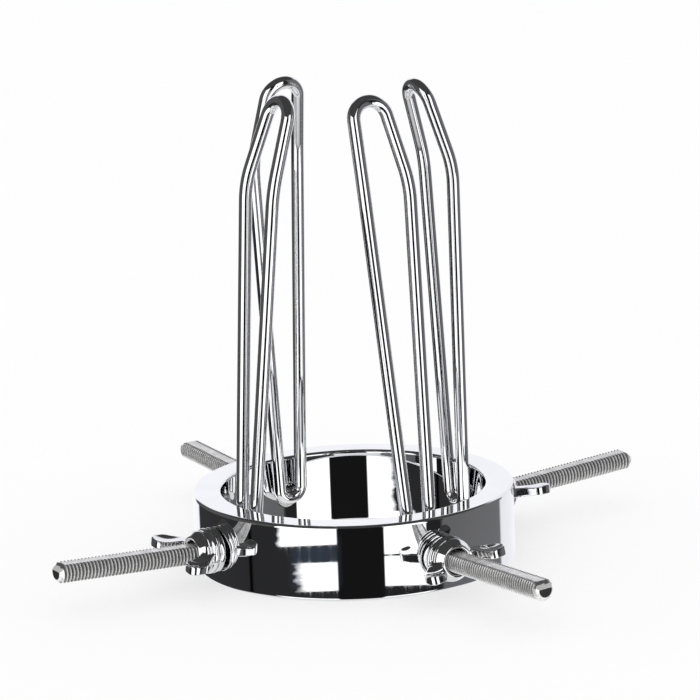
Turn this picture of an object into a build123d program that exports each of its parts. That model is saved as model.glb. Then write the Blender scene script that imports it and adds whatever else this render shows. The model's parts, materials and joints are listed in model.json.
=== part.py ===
from build123d import *
import os
from math import cos, radians, sin, tan

# Four-arm ring spreader. A thick ring stands on its flat underside. Four threaded studs
# pass out through its wall, a quarter turn apart. Each stud carries a tall closed loop of
# wire inside the ring, and a washer and a wing nut outside it. Turning a wing nut moves
# its stud, and so its loop, in or out.
# Millimetres, +Z up, origin on the ring's axis at the level of its underside.

os.makedirs("parts", exist_ok=True)

# Ring
ring_outer_diameter = 85.0
ring_inner_diameter = 70.0
ring_height = 20.0
ring_edge_radius = 0.9
hole_height = 9.3  # the holes' axis, above the ring's underside
hole_diameter = 6.8  # clearance hole for the stud
hole_flat_height = 2.6  # the hole's flat roof, above the hole's axis

# Threaded stud, M6 x 1, with a flat milled along its top that keeps the loop upright
stud_diameter = 6.0
stud_length = 55.0
stud_flat_height = 2.1  # the flat, above the stud's axis
stud_chamfer = 1.1
stud_end_bevel = 1.8  # takes the flat's corner off the outer end, at 45 degrees

# Wire loop
wire_diameter = 3.5
loop_distance = 32.8  # from the ring's axis to the loop, at the height of the stud
bottom_height = 0.2  # wire centre above the stud's axis
bottom_half_width = 3.1  # wire centre to the loop's middle line
knee_half_width = 6.9
top_half_width = 4.5
knee_height = 95.4  # above the stud's axis
top_height = 117.3
lower_lean = 0.3  # degrees towards the ring's axis, below the knee
upper_lean = 15.3  # degrees towards the ring's axis, above the knee
bottom_bend_radius = 3.1
knee_bend_radius = 30.0
top_bend_radius = 4.9

# Weld bead in the bottom of the loop, which it holds to the stud's end
weld_width = 3.6
weld_height = 2.1  # its middle, above the stud's axis
weld_inner_reach = 0.9  # from the loop's middle towards the ring's axis
weld_outer_reach = 1.95  # from the loop's middle outwards
weld_edge_radius = 0.8

# Washer
washer_outer_diameter = 12.0
washer_inner_diameter = 6.4
washer_thickness = 1.6
washer_gap = 0.45  # from the ring's wall, which curves away from the flat washer
washer_edge = 0.25

# Wing nut
nut_gap = 0.05  # from the washer
nut_bore_diameter = 6.1
nut_height = 5.4
nut_base_diameter = 12.0
nut_collar_thickness = 1.4
nut_neck_height = 1.8
nut_neck_diameter = 10.8
nut_waist_height = 3.4  # half way up the dome
nut_waist_diameter = 11.2
nut_top_diameter = 8.4
wing_thickness = 2.6
wing_root_radius = 3.6  # inside the hub, so that wing and hub are one piece
wing_root_height = 4.8
wing_foot_radius = 5.7  # where the lower edge leaves the collar
wing_tip_radius = 11.8
wing_tip_height = 11.6
wing_tip_depth = 4.4  # the tip's straight outer edge, down from its top
wing_tip_width = 4.6
wing_tip_bend = 2.0
wing_crotch_radius = 4.9  # where the upper edge meets the hub

# Arms. The studs lie in their holes with a little slack, so the weight of the loops tips
# each one inwards, which lifts the stud's outer end, and lets it roll a little sideways.
arms = {  # direction, lean and roll of the arm, and turn of its wing nut, in degrees
    "front_left": (180, 3.0, -2.4, -9),
    "front_right": (270, 2.4, 2.4, 11),
    "back_right": (0, 3.3, 3.0, -6),
    "back_left": (90, 3.0, -2.3, 8),
}

outer_radius = ring_outer_diameter / 2
inner_radius = ring_inner_diameter / 2
wall_middle = (outer_radius + inner_radius) / 2
wire_radius = wire_diameter / 2
loop_offset = loop_distance - wall_middle
stud_start = loop_offset + wire_radius
washer_start = outer_radius - wall_middle + washer_gap
nut_start = washer_start + washer_thickness + nut_gap


def finish(builder, name):
    """Label a finished piece and write it."""
    builder.part.label = name
    export_step(builder.part, f"parts/{name}.step")


def hole_plane(azimuth, lean=0.0, roll=0.0):
    """Plane across a stud's hole, in the middle of the ring's wall.

    Its X runs round the ring, its Y up and its Z outwards, along the stud. Lean lifts Z,
    and roll then turns X and Y about it.
    """
    a, e, r = radians(azimuth), radians(lean), radians(roll)
    along = Vector(cos(a) * cos(e), sin(a) * cos(e), sin(e))
    level = Vector(-sin(a), cos(a), 0)
    return Plane(
        origin=(wall_middle * cos(a), wall_middle * sin(a), hole_height),
        x_dir=level * cos(r) + along.cross(level) * sin(r),
        z_dir=along,
    )


def make_ring():
    """Thick ring with four D-shaped clearance holes through its wall."""
    with BuildPart() as ring:
        with BuildSketch():
            Circle(outer_radius)
            Circle(inner_radius, mode=Mode.SUBTRACT)
        extrude(amount=ring_height)
        fillet(ring.edges().filter_by(GeomType.CIRCLE), ring_edge_radius)
        for azimuth, _, _, _ in arms.values():
            with BuildSketch(hole_plane(azimuth)):
                Circle(hole_diameter / 2)
                with Locations((0, hole_flat_height)):
                    Rectangle(
                        hole_diameter,
                        hole_diameter,
                        align=(Align.CENTER, Align.MIN),
                        mode=Mode.SUBTRACT,
                    )
            extrude(
                amount=ring_outer_diameter - ring_inner_diameter,
                both=True,
                mode=Mode.SUBTRACT,
            )
    finish(ring, "ring")


def make_stud(arm, name):
    """Threaded stud at its major diameter, with its top milled flat from end to end."""
    start = arm.offset(stud_start)
    side = Plane(origin=start.origin, x_dir=arm.z_dir, z_dir=-arm.x_dir)
    with BuildPart(start) as stud:
        Cylinder(
            stud_diameter / 2,
            stud_length,
            align=(Align.CENTER, Align.CENTER, Align.MIN),
        )
        outer_end = stud.faces().sort_by(Axis(arm.origin, arm.z_dir))[-1]
        chamfer(outer_end.edges(), stud_chamfer)
        with Locations((0, stud_flat_height, 0)):
            Box(
                stud_diameter,
                stud_diameter,
                stud_length,
                align=(Align.CENTER, Align.MIN, Align.MIN),
                mode=Mode.SUBTRACT,
            )
        with BuildSketch(side):
            with BuildLine():
                Polyline(
                    (stud_length - stud_end_bevel, stud_flat_height),
                    (stud_length, stud_flat_height - stud_end_bevel),
                    (stud_length + stud_end_bevel, stud_flat_height),
                    close=True,
                )
            make_face()
        extrude(amount=stud_diameter, both=True, mode=Mode.SUBTRACT)
    finish(stud, f"stud_{name}")
    return stud.part


def make_loop(arm, name):
    """Closed wire loop: a U at the bottom, two legs, a knee, and a rounded top."""
    knee_inset = knee_height * tan(radians(lower_lean))
    top_inset = knee_inset + (top_height - knee_height) * tan(radians(upper_lean))
    across = Plane(origin=arm.origin, x_dir=arm.y_dir, z_dir=arm.x_dir)
    with BuildPart() as loop:
        with BuildLine(arm.offset(loop_offset)) as half:
            FilletPolyline(
                (0, bottom_height, 0),
                (bottom_half_width, bottom_height, 0),
                (knee_half_width, knee_height, -knee_inset),
                (top_half_width, top_height, -top_inset),
                (0, top_height, -top_inset),
                radius=(bottom_bend_radius, knee_bend_radius, top_bend_radius),
            )
        with BuildSketch(Plane(origin=half.line @ 0, z_dir=half.line % 0)):
            Circle(wire_radius)
        sweep(path=half.line)
        mirror(about=across)
    finish(loop, f"loop_{name}")
    return loop.part


def make_weld(arm, name, stud, loop):
    """Rounded bead in the bottom of the loop, shaped round the wire and the stud's end."""
    inner_face = arm.offset(loop_offset - weld_inner_reach)
    with BuildPart() as weld:
        with BuildSketch(inner_face):
            with Locations((0, weld_height)):
                Circle(weld_width / 2)
        extrude(amount=weld_inner_reach + weld_outer_reach)
        inner_rim = weld.edges().filter_by(GeomType.CIRCLE).sort_by(
            Axis(arm.origin, arm.z_dir)
        )[0]
        fillet(inner_rim, weld_edge_radius)
        add(stud, mode=Mode.SUBTRACT)
        add(loop, mode=Mode.SUBTRACT)
    finish(weld, f"weld_{name}")


def make_washer(arm, name):
    """Flat washer with softened rims."""
    with BuildPart(arm.offset(washer_start)) as washer:
        Cylinder(
            washer_outer_diameter / 2,
            washer_thickness,
            align=(Align.CENTER, Align.CENTER, Align.MIN),
        )
        chamfer(washer.edges().filter_by(GeomType.CIRCLE), washer_edge)
        Hole(washer_inner_diameter / 2)
    finish(washer, f"washer_{name}")


def make_wing_nut(arm, name, turn):
    """Bell-shaped hub with a base collar, and two wings that flare outwards."""
    base = arm.offset(nut_start)
    angle = radians(turn)
    wing_direction = base.x_dir * cos(angle) + base.y_dir * sin(angle)
    side = Plane(
        origin=base.origin,
        x_dir=wing_direction,
        z_dir=wing_direction.cross(base.z_dir),
    )
    with BuildPart() as nut:
        with BuildSketch(side):
            with BuildLine():
                base_line = Polyline(
                    (nut_bore_diameter / 2, 0),
                    (nut_base_diameter / 2, 0),
                    (nut_base_diameter / 2, nut_collar_thickness),
                    (nut_neck_diameter / 2, nut_neck_height),
                )
                dome = ThreePointArc(
                    base_line @ 1,
                    (nut_waist_diameter / 2, nut_waist_height),
                    (nut_top_diameter / 2, nut_height),
                )
                Polyline(
                    dome @ 1,
                    (nut_bore_diameter / 2, nut_height),
                    base_line @ 0,
                )
            make_face()
        revolve(axis=Axis(base.origin, base.z_dir))
        with BuildSketch(side) as wings:
            with BuildLine():
                Polyline(
                    (wing_root_radius, nut_collar_thickness),
                    (wing_foot_radius, nut_collar_thickness),
                    (wing_tip_radius, wing_tip_height - wing_tip_depth),
                    (wing_tip_radius, wing_tip_height),
                    (wing_tip_radius - wing_tip_width, wing_tip_height),
                    (wing_crotch_radius, nut_height),
                    (wing_root_radius, wing_root_height),
                    close=True,
                )
            make_face()
            fillet(wings.vertices().group_by(Axis.Y)[-1], wing_tip_bend)
            mirror(about=Plane.YZ)
        extrude(amount=wing_thickness / 2, both=True)
        with Locations(base):
            Cylinder(nut_bore_diameter / 2, 2 * wing_tip_height, mode=Mode.SUBTRACT)
    finish(nut, f"wing_nut_{name}")


make_ring()
for arm_name, (arm_azimuth, arm_lean, arm_roll, nut_turn) in arms.items():
    nut_plane = hole_plane(arm_azimuth, arm_lean)
    arm_plane = hole_plane(arm_azimuth, arm_lean, arm_roll)
    stud_part = make_stud(arm_plane, arm_name)
    loop_part = make_loop(arm_plane, arm_name)
    make_weld(arm_plane, arm_name, stud_part, loop_part)
    make_washer(nut_plane, arm_name)
    make_wing_nut(nut_plane, arm_name, nut_turn)
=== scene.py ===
import json
from math import asin, atan2, ceil, cos, hypot, pi, radians, sin, tan

import bmesh
import bpy
from mathutils import Matrix, Vector, noise


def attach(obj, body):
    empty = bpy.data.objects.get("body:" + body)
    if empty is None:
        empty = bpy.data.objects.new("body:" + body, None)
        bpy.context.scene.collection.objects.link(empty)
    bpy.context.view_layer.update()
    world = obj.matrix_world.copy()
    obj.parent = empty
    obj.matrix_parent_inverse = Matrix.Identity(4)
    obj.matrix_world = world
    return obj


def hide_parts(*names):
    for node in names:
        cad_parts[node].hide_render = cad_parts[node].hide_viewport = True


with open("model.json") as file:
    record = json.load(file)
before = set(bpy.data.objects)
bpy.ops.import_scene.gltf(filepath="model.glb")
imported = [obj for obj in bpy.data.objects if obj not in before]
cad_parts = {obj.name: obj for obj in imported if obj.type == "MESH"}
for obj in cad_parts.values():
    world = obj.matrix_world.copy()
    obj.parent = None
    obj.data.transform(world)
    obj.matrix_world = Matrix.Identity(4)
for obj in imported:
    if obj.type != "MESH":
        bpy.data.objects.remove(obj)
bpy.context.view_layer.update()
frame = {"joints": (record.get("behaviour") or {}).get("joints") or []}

# A four-arm ring spreader on a plain pale floor. A thick mirror-chromed ring carries four
# threaded studs. Each stud holds a tall wire loop inside the ring, and a washer and a wing
# nut outside it. Metres, +Z up, origin on the ring's axis at the level of its underside.

MM = 0.001
DEGREE = pi / 180
UP = Vector((0, 0, 1))
ARMS = ("front_left", "front_right", "back_right", "back_left")
JOINTS = {joint["name"]: joint for joint in frame["joints"]}
OWN_PLACE = "own_place"  # mesh attribute: the point's place in its piece's own frame
CREST_SHADE = "crest"  # mesh attribute for the painted shade and highlight on the thread: 0 in a root, 1 on a crest
FLAT_TONE = 0.7  # the milled flat, on the same scale

# How far each arm, and each wing nut, is turned about its stud at rest, in degrees
ARM_ROLLS = {"front_left": -2.4, "front_right": 2.4, "back_right": 3.0, "back_left": -2.3}
NUT_TURNS = {"front_left": -9, "front_right": 11, "back_right": -6, "back_left": 8}

# Ring
RING_OUTER_RADIUS = 42.5 * MM
RING_INNER_RADIUS = 35.0 * MM
RING_HEIGHT = 20.0 * MM
RING_EDGE_RADIUS = 0.9 * MM
RING_SEGMENTS = 288
RING_EDGE_STEP = 9 * DEGREE
HOLE_RADIUS = 3.4 * MM
HOLE_FLAT_HEIGHT = 2.6 * MM
HOLE_SEGMENTS = 64

# Wire loop, its centreline in the plane across the stud
WIRE_RADIUS = 1.75 * MM
WIRE_SEGMENTS = 40
WIRE_STEP = 3 * DEGREE
LOOP_OFFSET = -5.95 * MM  # from the middle of the ring's wall, along the stud
LOOP_BOTTOM = 0.2 * MM
BOTTOM_HALF_WIDTH = 3.1 * MM
KNEE_HALF_WIDTH = 6.9 * MM
TOP_HALF_WIDTH = 4.5 * MM
KNEE_HEIGHT = 95.4 * MM
TOP_HEIGHT = 117.3 * MM
LOWER_LEAN = 0.3 * DEGREE
UPPER_LEAN = 15.3 * DEGREE
LOOP_BENDS = (3.1 * MM, 30.0 * MM, 4.9 * MM)

# Stud, M6 x 1, with a flat milled along its top
STUD_START = LOOP_OFFSET + WIRE_RADIUS
STUD_RADIUS = 3.0 * MM
STUD_LENGTH = 55.0 * MM
STUD_FLAT_HEIGHT = 2.1 * MM
STUD_CHAMFER = 1.1 * MM
STUD_END_BEVEL = 1.8 * MM
STUD_FLAT_TOLERANCE = 0.01 * MM
THREAD_PITCH = 1.0 * MM
THREAD_DEPTH = 0.6134 * THREAD_PITCH
THREAD_STEPS = 72
CREST_END = 0.125  # shares of the pitch, from where the crest starts
ROOT_START = 0.4375
ROOT_END = 0.6875

# Weld, a bead between the bottom of the loop and the stud's end
WELD_SIZE = Vector((1.7, 1.25, 1.0)) * MM
WELD_CENTRE = Vector((0, 1.3 * MM, LOOP_OFFSET + 1.35 * MM))
WELD_LUMPS = ((0.14, 2.0), (0.03, 5.0))  # height as a share of the bead, and frequency
WELD_SUBDIVISIONS = 5

# Washer, along the stud from the middle of the ring's wall
WASHER_START = 4.2 * MM
WASHER_RADIUS = 6.0 * MM
WASHER_BORE_RADIUS = 3.2 * MM
WASHER_THICKNESS = 1.6 * MM
WASHER_EDGE = 0.35 * MM
WASHER_SEGMENTS = 128
WASHER_EDGE_STEP = 15 * DEGREE

# Wing nut. The corners are (out from the stud's axis, along it from the nut's base, bend).
NUT_START = 5.85 * MM
NUT_BORE_RADIUS = 3.12 * MM
HUB_CORNERS = [
    (NUT_BORE_RADIUS, 0, 0.3 * MM),
    (6.0 * MM, 0, 0.45 * MM),  # collar
    (6.0 * MM, 1.4 * MM, 0.4 * MM),
    (5.2 * MM, 1.8 * MM, 0.3 * MM),  # neck
    (5.85 * MM, 3.3 * MM, 1.1 * MM),  # dome
    (4.15 * MM, 5.5 * MM, 0.4 * MM),
    (3.6 * MM, 5.4 * MM, 0.2 * MM),  # mouth of the bore
    (NUT_BORE_RADIUS, 4.8 * MM, 0.2 * MM),
]
WING_CORNERS = [
    (3.7 * MM, 1.6 * MM, 0),  # inside the hub
    (5.6 * MM, 1.6 * MM, 1.0 * MM),
    (11.8 * MM, 7.2 * MM, 2.4 * MM),  # tip
    (11.8 * MM, 11.6 * MM, 2.0 * MM),
    (7.2 * MM, 11.6 * MM, 2.0 * MM),
    (4.9 * MM, 5.5 * MM, 1.6 * MM),  # crotch
    (3.7 * MM, 4.6 * MM, 0),  # inside the hub
]
HUB_SEGMENTS = 96
HUB_STEP = 12 * DEGREE
WING_STEP = 10 * DEGREE
WING_THICKNESS = 2.6 * MM
WING_HOLLOW_CENTRE = (8.6 * MM, 8.2 * MM)
WING_HOLLOW_RADIUS = 4.4 * MM
WING_HOLLOW_DEPTH = 0.42  # share of the thickness taken away
NUT_VOXEL = 0.15 * MM
CAST_ROUNDING = 7  # rounds of relaxing before the lumps, which rounds the corners
CAST_SMOOTHING = 2  # rounds of relaxing after them
CAST_LUMPS = 0.04 * MM
CAST_LUMP_FREQUENCY = 260

# Mesh making
RELAX_STRENGTH = 0.5
STRAIGHT = 1e-4  # a corner that turns by less, in radians, is no corner
JOIN_DISTANCE = 1e-7
THREAD_JOIN_DISTANCE = 2e-6
THREAD_SLIVER = 1e-6
SAME_SURFACE = 0.9  # cosine between the exact normal and that of a face outside the holes

# Camera
VIEW_AZIMUTH = -31.44 * DEGREE
VIEW_ELEVATION = 13.11 * DEGREE
VIEW_ROLL = -2.08 * DEGREE
VIEW_DISTANCE = 1.059
VIEW_SHIFT_RIGHT = 0.50 * MM
VIEW_SHIFT_UP = 46.6 * MM
VIEW_TARGET_HEIGHT = 8.5 * MM
VIEW_REACH = 50.0  # how far the camera sees
SENSOR_WIDTH = 36.0
LENS = 204.7


# ---------------------------------------------------------------- places


def stud_matrix(arm, roll):
    """Frame of a stud: origin in the middle of the ring's wall, Z outwards, Y up."""
    along = Vector(JOINTS[f"arm_slide_{arm}"]["axis"]).normalized()
    level = UP.cross(along).normalized()
    turn = Matrix.Rotation(radians(roll), 3, along)
    rotation = Matrix((turn @ level, turn @ along.cross(level), along)).transposed()
    return Matrix.Translation(JOINTS[f"nut_turn_{arm}"]["pos_m"]) @ rotation.to_4x4()


def hole_matrix(arm):
    """Frame of a hole in the ring, which is level."""
    centre = Vector(JOINTS[f"nut_turn_{arm}"]["pos_m"])
    along = Vector((centre.x, centre.y, 0)).normalized()
    rotation = Matrix((UP.cross(along), UP, along)).transposed()
    return Matrix.Translation(centre) @ rotation.to_4x4()


def rounded(points, bends, step, closed=False):
    """The polyline through points, with each corner an arc of its bend radius.

    An arc is divided into steps of at most an angle. An open line's ends have no bend.
    """
    points = [Vector(p) for p in points]
    count = len(points)
    corners = range(count) if closed else range(1, count - 1)
    line = [] if closed else [points[0]]
    for corner, bend in zip(corners, bends):
        here = points[corner]
        before = (points[corner - 1] - here).normalized()
        after = (points[(corner + 1) % count] - here).normalized()
        turn = pi - before.angle(after)
        if bend == 0 or turn < STRAIGHT:
            line.append(here)
            continue
        reach = bend * tan(turn / 2)
        centre = here + (before + after).normalized() * hypot(reach, bend)
        start = here + before * reach - centre
        end = here + after * reach - centre
        steps = max(2, ceil(turn / step))
        for i in range(steps + 1):
            share = i / steps
            near = sin((1 - share) * turn)
            far = sin(share * turn)
            line.append(centre + (start * near + end * far) / sin(turn))
    if not closed:
        line.append(points[-1])
    return line


def outline(corners, step):
    """A closed outline through (x, y, bend radius) corners, as (x, y) points."""
    points = [(x, y, 0) for x, y, _ in corners]
    bends = [bend for _, _, bend in corners]
    return [(p.x, p.y) for p in rounded(points, bends, step, closed=True)]


def flat_section(inner, outer, height, edge, step):
    """Half section of a flat ring with rounded edges, as (radius, height) points."""
    corners = [(inner, 0), (outer, 0), (outer, height), (inner, height)]
    return outline([(radius, level, edge) for radius, level in corners], step)


# ---------------------------------------------------------------- meshes


def clean(mesh, join, sliver, fill_holes=False):
    """Joins doubled vertices, drops slivers and turns the faces outwards."""
    work = bmesh.new()
    work.from_mesh(mesh)
    bmesh.ops.remove_doubles(work, verts=work.verts, dist=join)
    if fill_holes:
        open_edges = [edge for edge in work.edges if edge.is_boundary]
        bmesh.ops.holes_fill(work, edges=open_edges)
    bmesh.ops.dissolve_degenerate(work, edges=work.edges, dist=sliver)
    bmesh.ops.recalc_face_normals(work, faces=work.faces)
    work.to_mesh(mesh)
    work.free()


def mesh_from(name, vertices, faces):
    """A mesh with outward normals and no doubled vertices."""
    mesh = bpy.data.meshes.new(name)
    mesh.from_pydata([tuple(v) for v in vertices], [], faces)
    clean(mesh, JOIN_DISTANCE, JOIN_DISTANCE)
    return mesh


def shade(mesh, sharp_angle):
    """Smooth shading, with edges over an angle in degrees kept sharp."""
    mesh.shade_smooth()
    mesh.set_sharp_from_angle(angle=radians(sharp_angle))


def closed_grid(rows, columns):
    """Faces over rows of vertices, joined round each row and from the last row to the first."""
    faces = []
    for row in range(rows):
        for column in range(columns):
            a = row * columns + column
            b = row * columns + (column + 1) % columns
            c, d = [(k + columns) % (rows * columns) for k in (a, b)]
            faces.append((a, b, d, c))
    return faces


def lathe(name, profile, segments):
    """A closed profile of (radius, height) points turned about Z."""
    vertices = []
    for s in range(segments):
        angle = 2 * pi * s / segments
        vertices += [(r * cos(angle), r * sin(angle), h) for r, h in profile]
    return mesh_from(name, vertices, closed_grid(segments, len(profile)))


def prism(name, section, low, high):
    """A closed outline of (x, y) points extruded along Z."""
    count = len(section)
    vertices = [(x, y, z) for z in (low, high) for x, y in section]
    faces = [tuple(range(count)), tuple(range(2 * count - 1, count - 1, -1))]
    for i in range(count):
        j = (i + 1) % count
        faces.append((i, j, j + count, i + count))
    return mesh_from(name, vertices, faces)


def evaluated(mesh, name, **modifiers):
    """The mesh after modifiers, each given as name=(type, settings)."""
    scratch = bpy.data.objects.new(name, mesh)
    bpy.context.scene.collection.objects.link(scratch)
    for label, (kind, settings) in modifiers.items():
        modifier = scratch.modifiers.new(label, kind)
        for key, value in settings.items():
            setattr(modifier, key, value)
    graph = bpy.context.evaluated_depsgraph_get()
    graph.update()
    result = bpy.data.meshes.new_from_object(scratch.evaluated_get(graph))
    result.name = name
    bpy.data.objects.remove(scratch)
    return result


def relax(mesh, rounds):
    """Moves every vertex towards its neighbours' mean, which rounds a cast shape."""
    work = bmesh.new()
    work.from_mesh(mesh)
    for _ in range(rounds):
        bmesh.ops.smooth_vert(
            work,
            verts=work.verts,
            factor=RELAX_STRENGTH,
            use_axis_x=True,
            use_axis_y=True,
            use_axis_z=True,
        )
    work.to_mesh(mesh)
    work.free()


def ring_surface_normal(point):
    """Outward normal of the ring's rounded section, or None deep inside a hole."""
    radius = hypot(point.x, point.y)
    edge = RING_EDGE_RADIUS
    core_radius = min(max(radius, RING_INNER_RADIUS + edge), RING_OUTER_RADIUS - edge)
    core_height = min(max(point.z, edge), RING_HEIGHT - edge)
    out = radius - core_radius
    rise = point.z - core_height
    length = hypot(out, rise)
    if length < edge / 2:
        return None
    out /= length
    rise /= length
    return Vector((out * point.x / radius, out * point.y / radius, rise))


def set_exact_normals(mesh):
    """Gives the ring its exact normals, so that its mirror finish shows no facets."""
    normals = [Vector(normal.vector) for normal in mesh.corner_normals]
    for face in mesh.polygons:
        for corner in face.loop_indices:
            vertex = mesh.vertices[mesh.loops[corner].vertex_index]
            exact = ring_surface_normal(vertex.co)
            if exact is not None and exact.dot(face.normal) > SAME_SURFACE:
                normals[corner] = exact
    mesh.normals_split_custom_set(normals)


def ring_mesh():
    """Thick ring with softened edges and four D-shaped holes through its wall."""
    section = flat_section(
        RING_INNER_RADIUS, RING_OUTER_RADIUS, RING_HEIGHT, RING_EDGE_RADIUS, RING_EDGE_STEP
    )
    body = lathe("ring_body", section, RING_SEGMENTS)
    flat_angle = asin(HOLE_FLAT_HEIGHT / HOLE_RADIUS)
    sweep = pi + 2 * flat_angle
    angles = [pi - flat_angle + sweep * i / HOLE_SEGMENTS for i in range(HOLE_SEGMENTS + 1)]
    hole = [(HOLE_RADIUS * cos(angle), HOLE_RADIUS * sin(angle)) for angle in angles]
    reach = RING_OUTER_RADIUS - RING_INNER_RADIUS
    cutters = []
    modifiers = {}
    for arm in ARMS:
        mesh = prism(f"hole_{arm}", hole, -reach, reach)
        mesh.transform(hole_matrix(arm))
        cutter = bpy.data.objects.new(f"hole_{arm}", mesh)
        bpy.context.scene.collection.objects.link(cutter)
        cutters.append(cutter)
        settings = {"operation": "DIFFERENCE", "solver": "EXACT", "object": cutter}
        modifiers[arm] = ("BOOLEAN", settings)
    mesh = evaluated(body, "ring", **modifiers)
    for cutter in cutters:
        bpy.data.objects.remove(cutter)
    shade(mesh, sharp_angle=35)
    set_exact_normals(mesh)
    return mesh


def loop_mesh():
    """Closed wire loop: a U at the bottom, two legs, a knee and a rounded top."""
    knee_inset = KNEE_HEIGHT * tan(LOWER_LEAN)
    top_inset = knee_inset + (TOP_HEIGHT - KNEE_HEIGHT) * tan(UPPER_LEAN)
    corners = [
        (0, LOOP_BOTTOM, LOOP_OFFSET),
        (BOTTOM_HALF_WIDTH, LOOP_BOTTOM, LOOP_OFFSET),
        (KNEE_HALF_WIDTH, KNEE_HEIGHT, LOOP_OFFSET - knee_inset),
        (TOP_HALF_WIDTH, TOP_HEIGHT, LOOP_OFFSET - top_inset),
        (0, TOP_HEIGHT, LOOP_OFFSET - top_inset),
    ]
    half = rounded(corners, LOOP_BENDS, WIRE_STEP)
    path = half + [Vector((-p.x, p.y, p.z)) for p in reversed(half[1:-1])]
    vertices = []
    for i, centre in enumerate(path):
        tangent = (path[(i + 1) % len(path)] - path[i - 1]).normalized()
        side = Vector((0, 0, 1)).cross(tangent).normalized()
        other = tangent.cross(side)
        for s in range(WIRE_SEGMENTS):
            angle = 2 * pi * s / WIRE_SEGMENTS
            vertices.append(centre + (side * cos(angle) + other * sin(angle)) * WIRE_RADIUS)
    mesh = mesh_from("loop", vertices, closed_grid(len(path), WIRE_SEGMENTS))
    shade(mesh, sharp_angle=60)
    return mesh


def stud_mesh():
    """Stud with a real helical thread, its top milled flat and its outer end cut back."""
    root = STUD_RADIUS - THREAD_DEPTH
    profile = [(0.0, STUD_RADIUS), (CREST_END, STUD_RADIUS), (ROOT_START, root), (ROOT_END, root)]
    flat_edges = [asin(STUD_FLAT_HEIGHT / radius) for radius in (STUD_RADIUS, root)]
    angles = [2 * pi * s / THREAD_STEPS for s in range(THREAD_STEPS)]
    angles = sorted(angles + flat_edges + [pi - edge for edge in flat_edges])
    turns = ceil(STUD_LENGTH / THREAD_PITCH)
    rows = [(t + share, radius) for t in range(-1, turns + 1) for share, radius in profile]
    count = len(angles)
    vertices = []
    for along, radius in rows:
        for angle in angles:
            height = (along + angle / (2 * pi)) * THREAD_PITCH
            height = min(max(height, 0), STUD_LENGTH)
            to_end = STUD_LENGTH - height
            r = min(radius, STUD_RADIUS - STUD_CHAMFER + to_end)
            y = min(r * sin(angle), STUD_FLAT_HEIGHT, STUD_FLAT_HEIGHT - STUD_END_BEVEL + to_end)
            vertices.append((r * cos(angle), y, height))
    faces = []
    for i in range(len(rows) - 1):
        for s in range(count - 1):
            a = i * count + s
            faces.append((a, a + 1, a + count + 1, a + count))
        # the helix climbs one pitch in a turn, so the last angle meets the next turn
        a = i * count + count - 1
        b = (i + len(profile)) * count
        if i + len(profile) < len(rows) - 1:
            faces.append((a, b, b + count, a + count))
    mesh = mesh_from("stud", vertices, faces)
    clean(mesh, THREAD_JOIN_DISTANCE, THREAD_SLIVER, fill_holes=True)
    mark_crest_shade(mesh, root)
    mesh.transform(Matrix.Translation((0, 0, STUD_START)))
    shade(mesh, sharp_angle=25)
    return mesh


def mark_crest_shade(mesh, root):
    """Writes how near each of the stud's vertices is to the crest of the thread, for the painted
    shade in the roots and the painted highlight on the crests; the chamfered end counts as crest
    and the flat takes its own tone.
    """
    crest = mesh.attributes.new(CREST_SHADE, "FLOAT", "POINT")
    for vertex, value in zip(mesh.vertices, crest.data):
        x, y, z = vertex.co
        if z > STUD_LENGTH - STUD_CHAMFER:
            value.value = 1.0
        elif y > STUD_FLAT_HEIGHT - STUD_FLAT_TOLERANCE:
            value.value = FLAT_TONE
        else:
            value.value = (hypot(x, y) - root) / THREAD_DEPTH


def washer_mesh():
    """Flat washer with rolled edges."""
    section = flat_section(
        WASHER_BORE_RADIUS, WASHER_RADIUS, WASHER_THICKNESS, WASHER_EDGE, WASHER_EDGE_STEP
    )
    profile = [(radius, height + WASHER_START) for radius, height in section]
    mesh = lathe("washer", profile, WASHER_SEGMENTS)
    shade(mesh, sharp_angle=50)
    return mesh


def nut_mesh():
    """Cast wing nut: a domed hub on a collar, and two thick wings with hollowed faces."""
    joined = bmesh.new()
    joined.from_mesh(lathe("hub", outline(HUB_CORNERS, HUB_STEP), HUB_SEGMENTS))
    wing = outline(WING_CORNERS, WING_STEP)
    for side in (1, -1):
        part = prism("wing", wing, -WING_THICKNESS / 2, WING_THICKNESS / 2)
        # outline X runs out along the wing, outline Y along the stud
        part.transform(Matrix(((side, 0, 0, 0), (0, 0, -side, 0), (0, 1, 0, 0), (0, 0, 0, 1))))
        joined.from_mesh(part)
    bmesh.ops.recalc_face_normals(joined, faces=joined.faces)
    rough = bpy.data.meshes.new("nut_rough")
    joined.to_mesh(rough)
    joined.free()
    settings = {"mode": "VOXEL", "voxel_size": NUT_VOXEL, "use_smooth_shade": True}
    mesh = evaluated(rough, "wing_nut", cast=("REMESH", settings))
    relax(mesh, CAST_ROUNDING)
    centre_out, centre_up = WING_HOLLOW_CENTRE
    # read before anything moves, because a read after a move works all normals out again
    places = [(Vector(vertex.co), Vector(vertex.normal)) for vertex in mesh.vertices]
    for vertex, (place, normal) in zip(mesh.vertices, places):
        x, y, z = place
        away = hypot(abs(x) - centre_out, z - centre_up) / WING_HOLLOW_RADIUS
        if away < 1 and abs(x) > NUT_BORE_RADIUS:
            place.y = y * (1 - WING_HOLLOW_DEPTH * (1 - away * away) ** 2)
        vertex.co = place + normal * noise.noise(place * CAST_LUMP_FREQUENCY) * CAST_LUMPS
    relax(mesh, CAST_SMOOTHING)
    mesh.transform(Matrix.Translation((0, 0, NUT_START)))
    mesh.shade_smooth()
    return mesh


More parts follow.
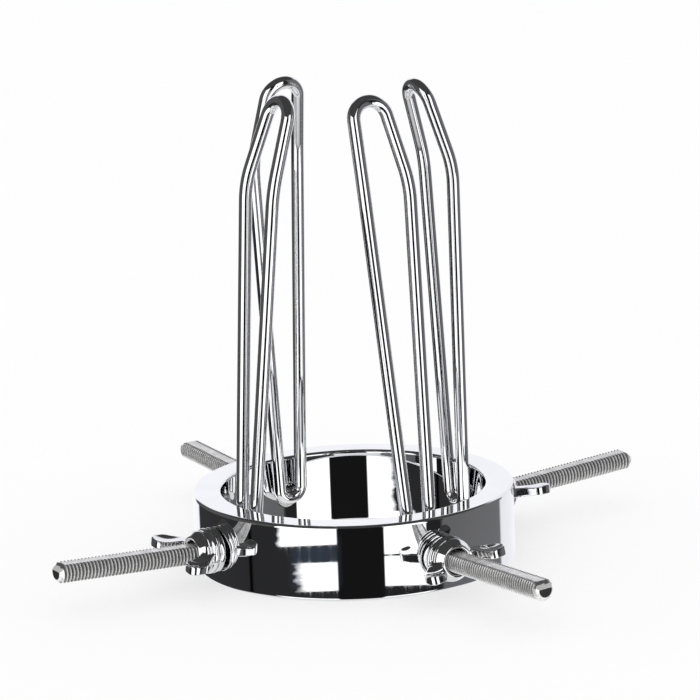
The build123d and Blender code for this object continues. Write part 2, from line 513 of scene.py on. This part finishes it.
def weld_mesh():
    """Uneven bead behind the bottom of the loop that joins it to the stud's end."""
    work = bmesh.new()
    bmesh.ops.create_icosphere(work, subdivisions=WELD_SUBDIVISIONS, radius=1.0)
    for vertex in work.verts:
        out = vertex.co.normalized()
        reach = 1 + sum(share * noise.noise(out * frequency) for share, frequency in WELD_LUMPS)
        vertex.co = WELD_CENTRE + out * WELD_SIZE * reach
    mesh = bpy.data.meshes.new("weld")
    work.to_mesh(mesh)
    work.free()
    mesh.shade_smooth()
    return mesh


# ---------------------------------------------------------------- shader nodes


NOISE_LOW = 0.3  # most of a noise's values lie from here
NOISE_HIGH = 0.7  # to here
NOISE_MIDDLE = 0.5


def add(tree, kind, inputs=None, **settings):
    """A shader node with its settings and its unlinked input values."""
    node = tree.nodes.new(kind)
    for key, value in settings.items():
        setattr(node, key, value)
    for key, value in (inputs or {}).items():
        node.inputs[key].default_value = value
    return node


def own_place(tree):
    """The point's place in its piece's own frame, which the mesh carries."""
    return add(tree, "ShaderNodeAttribute", attribute_name=OWN_PLACE).outputs["Vector"]


def grain(tree, place, scale, detail, stretch=(1, 1, 1)):
    """Noise over a place, with each axis scaled by stretch."""
    mapping = add(tree, "ShaderNodeMapping", {"Scale": stretch})
    texture = add(tree, "ShaderNodeTexNoise", {"Scale": scale, "Detail": detail})
    tree.links.new(place, mapping.inputs["Vector"])
    tree.links.new(mapping.outputs["Vector"], texture.inputs["Vector"])
    return texture.outputs["Fac"]


def ramp(tree, value, stops):
    """The colour at a value, on a ramp through (position, colour) stops in order."""
    node = add(tree, "ShaderNodeValToRGB")
    elements = node.color_ramp.elements
    elements.remove(elements[-1])
    position, colour = stops[0]
    elements[0].position = position
    elements[0].color = (*colour, 1)
    for position, colour in stops[1:]:
        elements.new(position).color = (*colour, 1)
    tree.links.new(value, node.inputs["Fac"])
    return node.outputs["Color"]


def spread(tree, value, low, high, start=NOISE_LOW, end=NOISE_HIGH):
    """A value spread from start..end to low..high."""
    span = {"From Min": start, "From Max": end, "To Min": low, "To Max": high}
    node = add(tree, "ShaderNodeMapRange", span)
    tree.links.new(value, node.inputs["Value"])
    return node.outputs["Result"]


def calculate(tree, operation, first, second=0.0):
    """The result of a sum on sockets or numbers."""
    node = add(tree, "ShaderNodeMath", operation=operation)
    for socket, value in zip(node.inputs, (first, second)):
        if isinstance(value, (int, float)):
            socket.default_value = value
        else:
            tree.links.new(value, socket)
    return node.outputs["Value"]


def above(tree, value, edge, softness):
    """0 below the edge and 1 above it."""
    return spread(tree, value, 0, 1, edge - softness, edge + softness)


def below(tree, value, edge, softness):
    """1 below the edge and 0 above it."""
    return calculate(tree, "SUBTRACT", 1.0, above(tree, value, edge, softness))


def within(tree, value, low, high, softness):
    """1 from low to high, else 0."""
    past = above(tree, value, high, softness)
    return calculate(tree, "SUBTRACT", above(tree, value, low, softness), past)


def blended(tree, share, base, colour):
    """The base colour with another over it by a share."""
    mix = add(tree, "ShaderNodeMix", data_type="RGBA")
    tree.links.new(share, mix.inputs["Factor"])
    tree.links.new(base, mix.inputs["A"])
    mix.inputs["B"].default_value = (*colour, 1)
    return mix.outputs["Result"]


def bumped(tree, height, strength, distance, normal=None):
    """The surface's normal, or another, tilted by a height."""
    bump = add(tree, "ShaderNodeBump", {"Strength": strength, "Distance": distance})
    tree.links.new(height, bump.inputs["Height"])
    if normal is not None:
        tree.links.new(normal, bump.inputs["Normal"])
    return bump.outputs["Normal"]


def axis_distance(tree):
    """The point's distance from its piece's own axis."""
    flatten = add(tree, "ShaderNodeVectorMath", {1: (1, 1, 0)}, operation="MULTIPLY")
    tree.links.new(own_place(tree), flatten.inputs[0])
    radius = add(tree, "ShaderNodeVectorMath", operation="LENGTH")
    tree.links.new(flatten.outputs["Vector"], radius.inputs[0])
    return radius.outputs["Value"]


# ---------------------------------------------------------------- materials


# Plated surfaces: the dark and bright tones of their smears, their roughness from and to,
# how wavy and how scratched they are, and how far from the axis the painted shade in a bore
# reaches
PLATED = {
    "ring_chrome": {
        "dark": (0.84, 0.845, 0.86),
        "bright": (0.9, 0.905, 0.915),
        "roughness": (0.003, 0.018),
        "waviness": 0.012,
        "scratches": 0.02,
    },
    "wire_chrome": {
        "dark": (0.80, 0.805, 0.815),
        "bright": (0.9, 0.9, 0.91),
        "roughness": (0.02, 0.08),
        "waviness": 0.12,
        "scratches": 0.4,
    },
    "nut_chrome": {
        "dark": (0.74, 0.745, 0.755),
        "bright": (0.88, 0.88, 0.89),
        "roughness": (0.03, 0.12),
        "waviness": 0.5,
        "scratches": 0.5,
        # how far out from the axis the bore's painted shade reaches
        "bore": NUT_BORE_RADIUS + 0.2 * MM,
    },
    "washer_chrome": {
        "dark": (0.74, 0.745, 0.755),
        "bright": (0.88, 0.88, 0.89),
        "roughness": (0.04, 0.14),
        "waviness": 0.3,
        "scratches": 0.5,
    },
    "weld_steel": {
        "dark": (0.24, 0.24, 0.24),
        "bright": (0.52, 0.51, 0.50),
        "roughness": (0.12, 0.34),
        "waviness": 1.0,
        "scratches": 1.0,
    },
}
# painted shade: the near-black tone given to a nut's bore
BORE_SHADE_TONE = (0.02, 0.02, 0.02)
BORE_SHADE_SOFTNESS = 0.05 * MM
SMEAR_SCALE = 70
WAVE_SCALE = 130
WAVE_HEIGHT = 0.02 * MM
HAIRLINE_SCALE = 900
HAIRLINE_STRETCH = (1, 1, 0.05)  # long along the piece's own Z
HAIRLINE_SPAN = (0.35, 0.75)
HAIRLINE_HEIGHT = 0.002 * MM

# Threaded steel
# painted shade in the thread roots and painted highlight on the crests, along the crest attribute
THREAD_SHADE_TONES = [(0.0, (0.16, 0.16, 0.16)), (0.45, (0.36, 0.36, 0.36)), (1.0, (0.95, 0.95, 0.94))]
THREAD_METALLIC = 0.55
THREAD_ROUGHNESS = (0.2, 0.36)
GRIME_SCALE = 420
GRIME = 0.12  # how far grime moves a tone along the ramp, either way
MARK_SCALE = 1500
MARK_STRETCH = (1, 1, 0.08)
MARK_STRENGTH = 0.25
MARK_HEIGHT = 0.01 * MM
# painted shade on the stud's outer end face
END_SHADE_TONE = (0.05, 0.05, 0.05)
END_DEPTH = (0.03 * MM, 0.01 * MM)  # the painted shade on the end face fades in between these depths


def new_material(name):
    """A new metal material, its node tree and its shader."""
    material = bpy.data.materials.new(name)
    material.use_nodes = True
    tree = material.node_tree
    tree.nodes.clear()
    shader = add(tree, "ShaderNodeBsdfPrincipled", {"Metallic": 1.0})
    output = add(tree, "ShaderNodeOutputMaterial")
    tree.links.new(shader.outputs["BSDF"], output.inputs["Surface"])
    return material, tree, shader


def plated(name, dark, bright, roughness, waviness, scratches, bore=0.0):
    """Chrome plate: faint smears in the colour, hairlines in the gloss, a slight waviness, and
    painted shade darkening a bore where one is given.
    """
    material, tree, shader = new_material(name)
    smears = grain(tree, own_place(tree), SMEAR_SCALE, detail=4)
    colour = ramp(tree, smears, [(NOISE_LOW, dark), (NOISE_HIGH, bright)])
    # painted shade: the bore is darkened out to the given distance from the axis
    if bore:
        inside = below(tree, axis_distance(tree), bore, BORE_SHADE_SOFTNESS)
        colour = blended(tree, inside, colour, BORE_SHADE_TONE)
    tree.links.new(colour, shader.inputs["Base Color"])
    hairlines = grain(tree, own_place(tree), HAIRLINE_SCALE, detail=5, stretch=HAIRLINE_STRETCH)
    gloss = spread(tree, hairlines, *roughness, *HAIRLINE_SPAN)
    tree.links.new(gloss, shader.inputs["Roughness"])
    waves = grain(tree, own_place(tree), WAVE_SCALE, detail=2)
    wavy = bumped(tree, waves, waviness, WAVE_HEIGHT)
    scratched = bumped(tree, hairlines, scratches, HAIRLINE_HEIGHT, wavy)
    tree.links.new(scratched, shader.inputs["Normal"])
    return material


def threaded_steel(name):
    """Machined steel: painted highlight on the crests, a duller flat, painted shade in the roots
    and on the end face, turning marks.
    """
    material, tree, shader = new_material(name)
    shader.inputs["Metallic"].default_value = THREAD_METALLIC
    # the crest attribute drives the painted shade in the roots and the painted highlight on the
    # crests
    crest = add(tree, "ShaderNodeAttribute", attribute_name=CREST_SHADE).outputs["Fac"]
    grime = grain(tree, own_place(tree), GRIME_SCALE, detail=4)
    height = calculate(tree, "ADD", crest, spread(tree, grime, -GRIME, GRIME))
    split = add(tree, "ShaderNodeSeparateXYZ")
    tree.links.new(own_place(tree), split.inputs["Vector"])
    # painted shade on the stud's outer end face
    start, end = [STUD_START + STUD_LENGTH - depth for depth in END_DEPTH]
    end_shade = spread(tree, split.outputs["Z"], 0, 1, start, end)
    colour = blended(tree, end_shade, ramp(tree, height, THREAD_SHADE_TONES), END_SHADE_TONE)
    tree.links.new(colour, shader.inputs["Base Color"])
    marks = grain(tree, own_place(tree), MARK_SCALE, detail=3, stretch=MARK_STRETCH)
    tree.links.new(spread(tree, marks, *THREAD_ROUGHNESS), shader.inputs["Roughness"])
    marked = bumped(tree, marks, MARK_STRENGTH, MARK_HEIGHT)
    tree.links.new(marked, shader.inputs["Normal"])
    return material


# ---------------------------------------------------------------- pieces


def place_piece(name, shape, body, slot, looks, matrix=None):
    """One visible piece in place of the CAD node of the same name."""
    mesh = shape.copy()
    mesh.name = name
    own = mesh.attributes.new(OWN_PLACE, "FLOAT_VECTOR", "POINT")
    for vertex, value in zip(mesh.vertices, own.data):
        value.vector = vertex.co
    if matrix is not None:
        mesh.transform(matrix)
    mesh.materials.append(looks[slot])
    piece = bpy.data.objects.new(f"{name}_visible", mesh)
    bpy.context.scene.collection.objects.link(piece)
    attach(piece, body)
    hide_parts(name)


def make_object():
    """The ring and, for each arm, its stud, loop, weld, washer and wing nut."""
    looks = {slot: plated(slot, **look) for slot, look in PLATED.items()}
    looks["stud_steel"] = threaded_steel("stud_steel")
    place_piece("ring", ring_mesh(), "ring", "ring_chrome", looks)
    stud = stud_mesh()
    loop = loop_mesh()
    weld = weld_mesh()
    washer = washer_mesh()
    nut = nut_mesh()
    for arm in ARMS:
        rolled = stud_matrix(arm, ARM_ROLLS[arm])
        turned = stud_matrix(arm, NUT_TURNS[arm])
        body = f"arm_{arm}"
        place_piece(f"stud_{arm}", stud, body, "stud_steel", looks, rolled)
        place_piece(f"loop_{arm}", loop, body, "wire_chrome", looks, rolled)
        place_piece(f"weld_{arm}", weld, body, "weld_steel", looks, rolled)
        place_piece(f"washer_{arm}", washer, f"washer_{arm}", "washer_chrome", looks, turned)
        place_piece(f"wing_nut_{arm}", nut, f"nut_{arm}", "nut_chrome", looks, turned)


# ---------------------------------------------------------------- studio


# Directions across are in degrees from the camera's side, anticlockwise from above, and
# heights in degrees above the horizon. What stands all round, and how bright it is:
STUDIO_BANDS = [
    (-180, 1.0),
    (-149, 1.0),
    (-147, 0.036),
    (-83, 0.026),
    (-82, 0.002),
    (-79.5, 0.002),
    (-78.5, 0.024),
    (-14, 0.024),
    (-12.5, 0.008),
    (19.5, 0.008),
    (20.5, 0.018),
    (64, 0.018),
    (66, 0.13),
    (128, 0.17),
    (131, 0.9),
    (180, 1.0),
]
BAND_BLUE = 1.05  # the bands' blue, as a share of their red and green
SCREEN_TOP = 34  # above this height the screens end under a dim ceiling
SCREEN_TOP_SOFTNESS = 3
CEILING = (0.05, 0.05, 0.05)
TABLE_START = -46  # below this height everything is the white table
TABLE_SOFTNESS = 4
TABLE = (0.85, 0.85, 0.85)

# Faint light on the screens: its tone, and its span across and up with their softness
SCREEN_LIGHTS = [
    ((0.035, 0.045, 0.062), (-46, -13, 4), (-16.5, -15.8, 0.05)),
    ((0.085, 0.085, 0.085), (-150, -60, 3), (-14.4, SCREEN_TOP, 0.4)),
]

# The two white boxes in their parts, each from one direction to another, from one height
# to another, and with how uneven the edge in its first direction is
WHITE_BOXES = [
    (-58, -13, -14.6, 32, 0),
    (-36, -13, -15.45, -14.6, 4),
    (-56, -13, -15.90, -15.45, 3),
    (-41, -13, -16.56, -16.15, 7),
    (20.5, 52, -16.06, 32, 0),
    (20.5, 57, -16.52, -16.09, 0),
    (-60, -13, -42, -16.95, 0),
    (20.5, 60, -42, -16.95, 0),
]
BOX_WHITE = (1.5, 1.5, 1.5)
BOX_WANDER = 3.0  # how far an uneven edge wanders
BOX_FIRST_SOFTNESS = 0.5
BOX_SECOND_SOFTNESS = 0.6
BOX_LEVEL_SOFTNESS = 0.006
STREAK_STRETCH = (4, 4, 700)  # thin level streaks
OPEN_WHITE = 1.02  # what the camera and diffuse light see in place of the studio

FLOOR_HALF_SIZE = 8.0
FLOOR_DROP = 0.02 * MM
FLOOR_TONE = (0.36, 0.36, 0.36, 1)
FLOOR_GLOW = 0.62
FLOOR_ROUGHNESS = 0.9

LAMP_SIZE = 1.6
LAMP_ENERGY = 0.4
LAMP_PLACE = Vector((-0.3, -0.5, 1.6))
LAMP_TARGET = Vector((0, 0, 0.05))


def view_axes():
    """The camera's right, up and back directions."""
    flat = cos(VIEW_ELEVATION)
    back = Vector((sin(VIEW_AZIMUTH) * flat, -cos(VIEW_AZIMUTH) * flat, sin(VIEW_ELEVATION)))
    right = Vector((cos(VIEW_AZIMUTH), sin(VIEW_AZIMUTH), 0))
    return right, back.cross(right), back


def make_camera():
    """A camera with a long lens, low in front of the object and slightly rolled."""
    right, up, back = view_axes()
    turned_right = right * cos(VIEW_ROLL) + up * sin(VIEW_ROLL)
    turned_up = up * cos(VIEW_ROLL) - right * sin(VIEW_ROLL)
    place = back * VIEW_DISTANCE + right * VIEW_SHIFT_RIGHT + up * VIEW_SHIFT_UP
    place.z += VIEW_TARGET_HEIGHT
    data = bpy.data.cameras.new("camera")
    data.sensor_width = SENSOR_WIDTH
    data.lens = LENS
    data.clip_end = VIEW_REACH
    camera = bpy.data.objects.new("camera", data)
    rotation = Matrix((turned_right, turned_up, back)).transposed().to_4x4()
    camera.matrix_world = Matrix.Translation(place) @ rotation
    bpy.context.scene.collection.objects.link(camera)
    bpy.context.scene.camera = camera


def studio_colour(tree):
    """The studio round the object: bands of screens, white boxes, a ceiling and a table."""
    place = add(tree, "ShaderNodeTexCoord")
    turn = add(tree, "ShaderNodeVectorRotate", rotation_type="Z_AXIS")
    _, _, back = view_axes()
    turn.inputs["Angle"].default_value = -atan2(back.y, back.x)
    tree.links.new(place.outputs["Generated"], turn.inputs["Vector"])
    direction = turn.outputs["Vector"]
    split = add(tree, "ShaderNodeSeparateXYZ")
    tree.links.new(direction, split.inputs["Vector"])
    angle = calculate(tree, "ARCTAN2", split.outputs["Y"], split.outputs["X"])
    across = calculate(tree, "DIVIDE", angle, DEGREE)
    rise = calculate(tree, "ARCSINE", split.outputs["Z"])
    height = calculate(tree, "DIVIDE", rise, DEGREE)
    bands = []
    for start, light in STUDIO_BANDS:
        bands.append(((start + 180) / 360, (light, light, light * BAND_BLUE)))
    colour = ramp(tree, spread(tree, across, 0, 1, -180, 180), bands)
    for tone, span_across, span_up in SCREEN_LIGHTS:
        lit_across = within(tree, across, *span_across)
        lit = calculate(tree, "MULTIPLY", lit_across, within(tree, height, *span_up))
        colour = blended(tree, lit, colour, tone)
    streaks = grain(tree, direction, scale=1, detail=6, stretch=STREAK_STRETCH)
    wander = calculate(tree, "SUBTRACT", streaks, NOISE_MIDDLE)
    for first, second, bottom, top, unevenness in WHITE_BOXES:
        pushed = calculate(tree, "MULTIPLY", wander, BOX_WANDER * unevenness)
        edge_place = calculate(tree, "ADD", across, pushed)
        after = above(tree, edge_place, first, BOX_FIRST_SOFTNESS * (1 + unevenness))
        before = below(tree, across, second, BOX_SECOND_SOFTNESS)
        between = calculate(tree, "MULTIPLY", after, before)
        level = within(tree, height, bottom, top, BOX_LEVEL_SOFTNESS)
        colour = blended(tree, calculate(tree, "MULTIPLY", between, level), colour, BOX_WHITE)
    overhead = above(tree, height, SCREEN_TOP, SCREEN_TOP_SOFTNESS)
    colour = blended(tree, overhead, colour, CEILING)
    return blended(tree, below(tree, height, TABLE_START, TABLE_SOFTNESS), colour, TABLE)


def make_world():
    """Plain white, and for reflections a studio of white boxes and dark screens."""
    world = bpy.data.worlds.new("studio")
    bpy.context.scene.world = world
    world.use_nodes = True
    tree = world.node_tree
    tree.nodes.clear()
    seen = add(tree, "ShaderNodeBackground", {"Strength": 1.0})
    tree.links.new(studio_colour(tree), seen.inputs["Color"])
    white = add(tree, "ShaderNodeBackground", {"Color": (1, 1, 1, 1), "Strength": OPEN_WHITE})
    ray = add(tree, "ShaderNodeLightPath")
    choose = add(tree, "ShaderNodeMixShader")
    tree.links.new(ray.outputs["Is Glossy Ray"], choose.inputs["Fac"])
    tree.links.new(white.outputs["Background"], choose.inputs[1])
    tree.links.new(seen.outputs["Background"], choose.inputs[2])
    output = add(tree, "ShaderNodeOutputWorld")
    tree.links.new(choose.outputs["Shader"], output.inputs["Surface"])


def make_floor():
    """A plain pale floor, which the mirror finish doesn't reflect."""
    sides = ((-1, -1), (1, -1), (1, 1), (-1, 1))
    corners = [(x * FLOOR_HALF_SIZE, y * FLOOR_HALF_SIZE, -FLOOR_DROP) for x, y in sides]
    floor = bpy.data.objects.new("floor", mesh_from("floor", corners, [(0, 1, 2, 3)]))
    bpy.context.scene.collection.objects.link(floor)
    material, _, shader = new_material("floor_paint")
    shader.inputs["Base Color"].default_value = FLOOR_TONE
    shader.inputs["Metallic"].default_value = 0.0
    shader.inputs["Emission Color"].default_value = (1, 1, 1, 1)
    shader.inputs["Emission Strength"].default_value = FLOOR_GLOW
    shader.inputs["Roughness"].default_value = FLOOR_ROUGHNESS
    shader.inputs["Specular IOR Level"].default_value = 0.0
    floor.data.materials.append(material)
    floor.visible_glossy = False


def make_light():
    """A wide soft lamp overhead."""
    data = bpy.data.lights.new("soft_top", "AREA")
    data.shape = "SQUARE"
    data.size = LAMP_SIZE
    data.energy = LAMP_ENERGY
    lamp = bpy.data.objects.new("soft_top", data)
    lamp.location = LAMP_PLACE
    lamp.rotation_euler = (LAMP_TARGET - LAMP_PLACE).to_track_quat("-Z", "Y").to_euler()
    lamp.visible_glossy = False
    bpy.context.scene.collection.objects.link(lamp)


bpy.context.scene.view_settings.view_transform = "Standard"
make_camera()
make_world()
make_floor()
make_light()
make_object()
